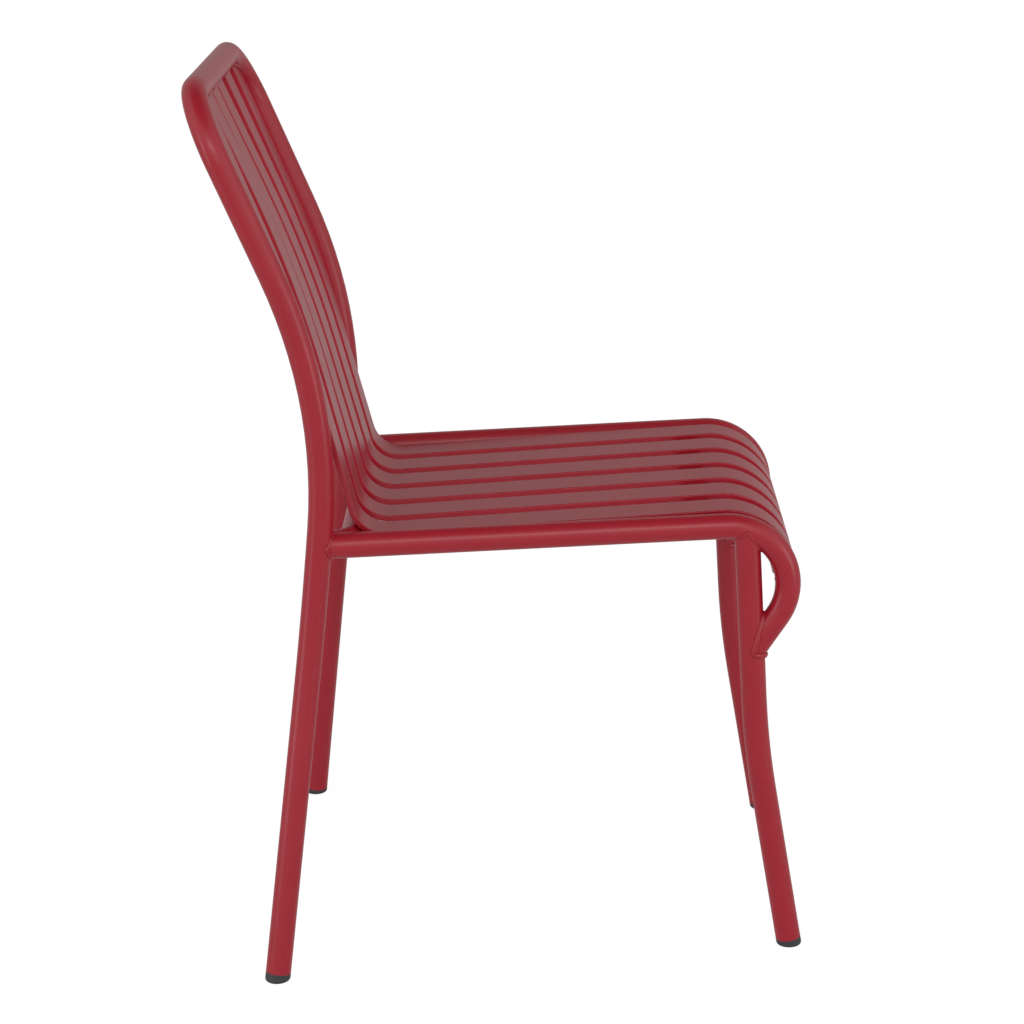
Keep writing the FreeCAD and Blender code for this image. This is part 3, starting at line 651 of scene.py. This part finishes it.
@dataclass(frozen=True)
class SoftBox:
    """One rectangular lamp that gives light and shine but is never seen itself."""

    name: str
    place: tuple[float, float, float]
    target: tuple[float, float, float]
    width: float
    height: float
    radiance: float

    def build(self) -> bpy.types.Object:
        """Hang the lamp and return it."""
        lamp = bpy.data.lights.new(self.name, "AREA")
        lamp.shape = "RECTANGLE"
        lamp.size = self.width
        lamp.size_y = self.height
        lamp.energy = self.radiance * math.pi * self.width * self.height
        holder = bpy.data.objects.new(self.name, lamp)
        bpy.context.scene.collection.objects.link(holder)
        place = Vector(self.place)
        holder.location = place
        holder.rotation_euler = (Vector(self.target) - place).to_track_quat("-Z", "Y").to_euler()
        holder.visible_camera = False
        return holder


@dataclass
class Studio:
    """Floor, room and lamps; the ranges are parts of the unit direction of a ray."""

    floor_size: float = 40.0
    room_level: float = 1.02
    behind_share: float = 0.42
    behind_range: tuple[float, float] = (-0.1, 0.6)
    overhead_share: float = 0.22
    overhead_range: tuple[float, float] = (0.62, 0.92)
    boxes: tuple[SoftBox, ...] = (
        SoftBox("box_key", (-3.0, -0.2, 2.1), (0.0, 0.0, 0.55), 1.8, 0.6, 3.2),
        SoftBox("box_rear", (-1.2, 2.2, 0.5), (0.0, 0.0, 0.45), 0.5, 1.2, 2.6),
        SoftBox("box_front", (-1.2, -2.2, 0.5), (0.0, 0.0, 0.45), 0.5, 1.2, 3.0),
    )

    def build_floor(self, finish: bpy.types.Material) -> bpy.types.Object:
        """Make the floor, a plain square on Z = 0.

        Args:
            finish: material of the floor.

        Returns:
            The floor object.
        """
        mesh = bpy.data.meshes.new("studio_floor")
        shape = bmesh.new()
        bmesh.ops.create_grid(shape, x_segments=1, y_segments=1, size=self.floor_size / 2.0)
        shape.to_mesh(mesh)
        shape.free()
        floor = bpy.data.objects.new("studio_floor", mesh)
        bpy.context.scene.collection.objects.link(floor)
        mesh.materials.append(finish)
        return floor

    def build_world(self) -> None:
        """Light the room from the camera's side, dimmer behind and overhead, white to the camera."""
        world = bpy.data.worlds.new("studio_world")
        bpy.context.scene.world = world
        world.use_nodes = True
        tree = world.node_tree
        tree.nodes.clear()
        towards = add_node(tree, "ShaderNodeTexCoord").outputs["Generated"]
        split = add_node(tree, "ShaderNodeSeparateXYZ", {"Vector": towards})
        behind = add_node(tree, "ShaderNodeMapRange",
                          {"Value": split.outputs["X"], "From Min": self.behind_range[0],
                           "From Max": self.behind_range[1], "To Min": 1.0,
                           "To Max": self.behind_share},
                          interpolation_type="SMOOTHSTEP")
        overhead = add_node(tree, "ShaderNodeMapRange",
                            {"Value": split.outputs["Z"], "From Min": self.overhead_range[0],
                             "From Max": self.overhead_range[1], "To Min": 1.0,
                             "To Max": self.overhead_share},
                            interpolation_type="SMOOTHSTEP")
        share = add_node(tree, "ShaderNodeMath",
                         {0: behind.outputs["Result"], 1: overhead.outputs["Result"]},
                         operation="MULTIPLY")
        level = add_node(tree, "ShaderNodeMath",
                         {0: share.outputs[0], 1: self.room_level}, operation="MULTIPLY")
        light = add_node(tree, "ShaderNodeBackground",
                         {"Color": (1.0, 1.0, 1.0, 1.0), "Strength": level.outputs[0]})
        white = add_node(tree, "ShaderNodeBackground", {"Color": (1.0, 1.0, 1.0, 1.0), "Strength": 1.0})
        ray = add_node(tree, "ShaderNodeLightPath")
        mixed = add_node(tree, "ShaderNodeMixShader",
                         {0: ray.outputs["Is Camera Ray"], 1: light.outputs[0], 2: white.outputs[0]})
        add_node(tree, "ShaderNodeOutputWorld", {"Surface": mixed.outputs[0]})

    def build_lamps(self) -> None:
        """Hang the soft boxes."""
        for box in self.boxes:
            box.build()


@dataclass
class PhotoCamera:
    """Camera at the photograph's viewpoint."""

    place: Vector = field(default_factory=lambda: Vector((-2.77187, -0.04808, 1.21132)))
    yaw: float = -0.8368
    pitch: float = 16.1840
    roll: float = -1.1723
    focal_px: float = 2784.49
    frame_px: float = 1024.0
    sensor_mm: float = 36.0
    farthest: float = 100.0

    def build(self) -> bpy.types.Object:
        """Make the camera and set it as the scene's own.

        Returns:
            The camera object.
        """
        yaw, pitch, roll = (math.radians(angle) for angle in (self.yaw, self.pitch, self.roll))
        ahead = Vector((math.cos(yaw) * math.cos(pitch), -math.sin(yaw) * math.cos(pitch),
                        -math.sin(pitch)))
        right = Vector((-math.sin(yaw), -math.cos(yaw), 0.0))
        up = right.cross(ahead)
        rolled_right = math.cos(roll) * right + math.sin(roll) * up
        rolled_up = math.cos(roll) * up - math.sin(roll) * right
        lens = bpy.data.cameras.new("photo_camera")
        lens.sensor_fit = "HORIZONTAL"
        lens.sensor_width = self.sensor_mm
        lens.lens = self.focal_px / self.frame_px * self.sensor_mm
        lens.clip_end = self.farthest
        camera = bpy.data.objects.new("photo_camera", lens)
        bpy.context.scene.collection.objects.link(camera)
        turn = Matrix((rolled_right, rolled_up, -ahead)).transposed()
        camera.matrix_world = Matrix.Translation(self.place) @ turn.to_4x4()
        bpy.context.scene.camera = camera
        return camera


def main(frame: dict[str, Any]) -> None:
    """Dress the chair, lay its weld beads, then build the studio and the camera.
    """
    scene = bpy.context.scene
    scene.view_settings.view_transform = "Standard"
    paint = PowderCoat().build()
    plug = PlugPlastic().build()
    CadDressing({Slot.PAINT: paint, Slot.PLUG: plug}).dress(frame["nodes"])
    FrameWelds().build(paint)
    slats = [frame["nodes"][name] for name in sorted(frame["nodes"]) if name.startswith("slat_")]
    SlatWelds().build(WeldBead(radius_mm=1.7, ripple_mm=0.2), paint, slats)
    studio = Studio()
    studio.build_floor(StudioFloor().build())
    studio.build_world()
    studio.build_lamps()
    PhotoCamera().build()


if __name__ == "__main__":
    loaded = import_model()
    main(loaded)
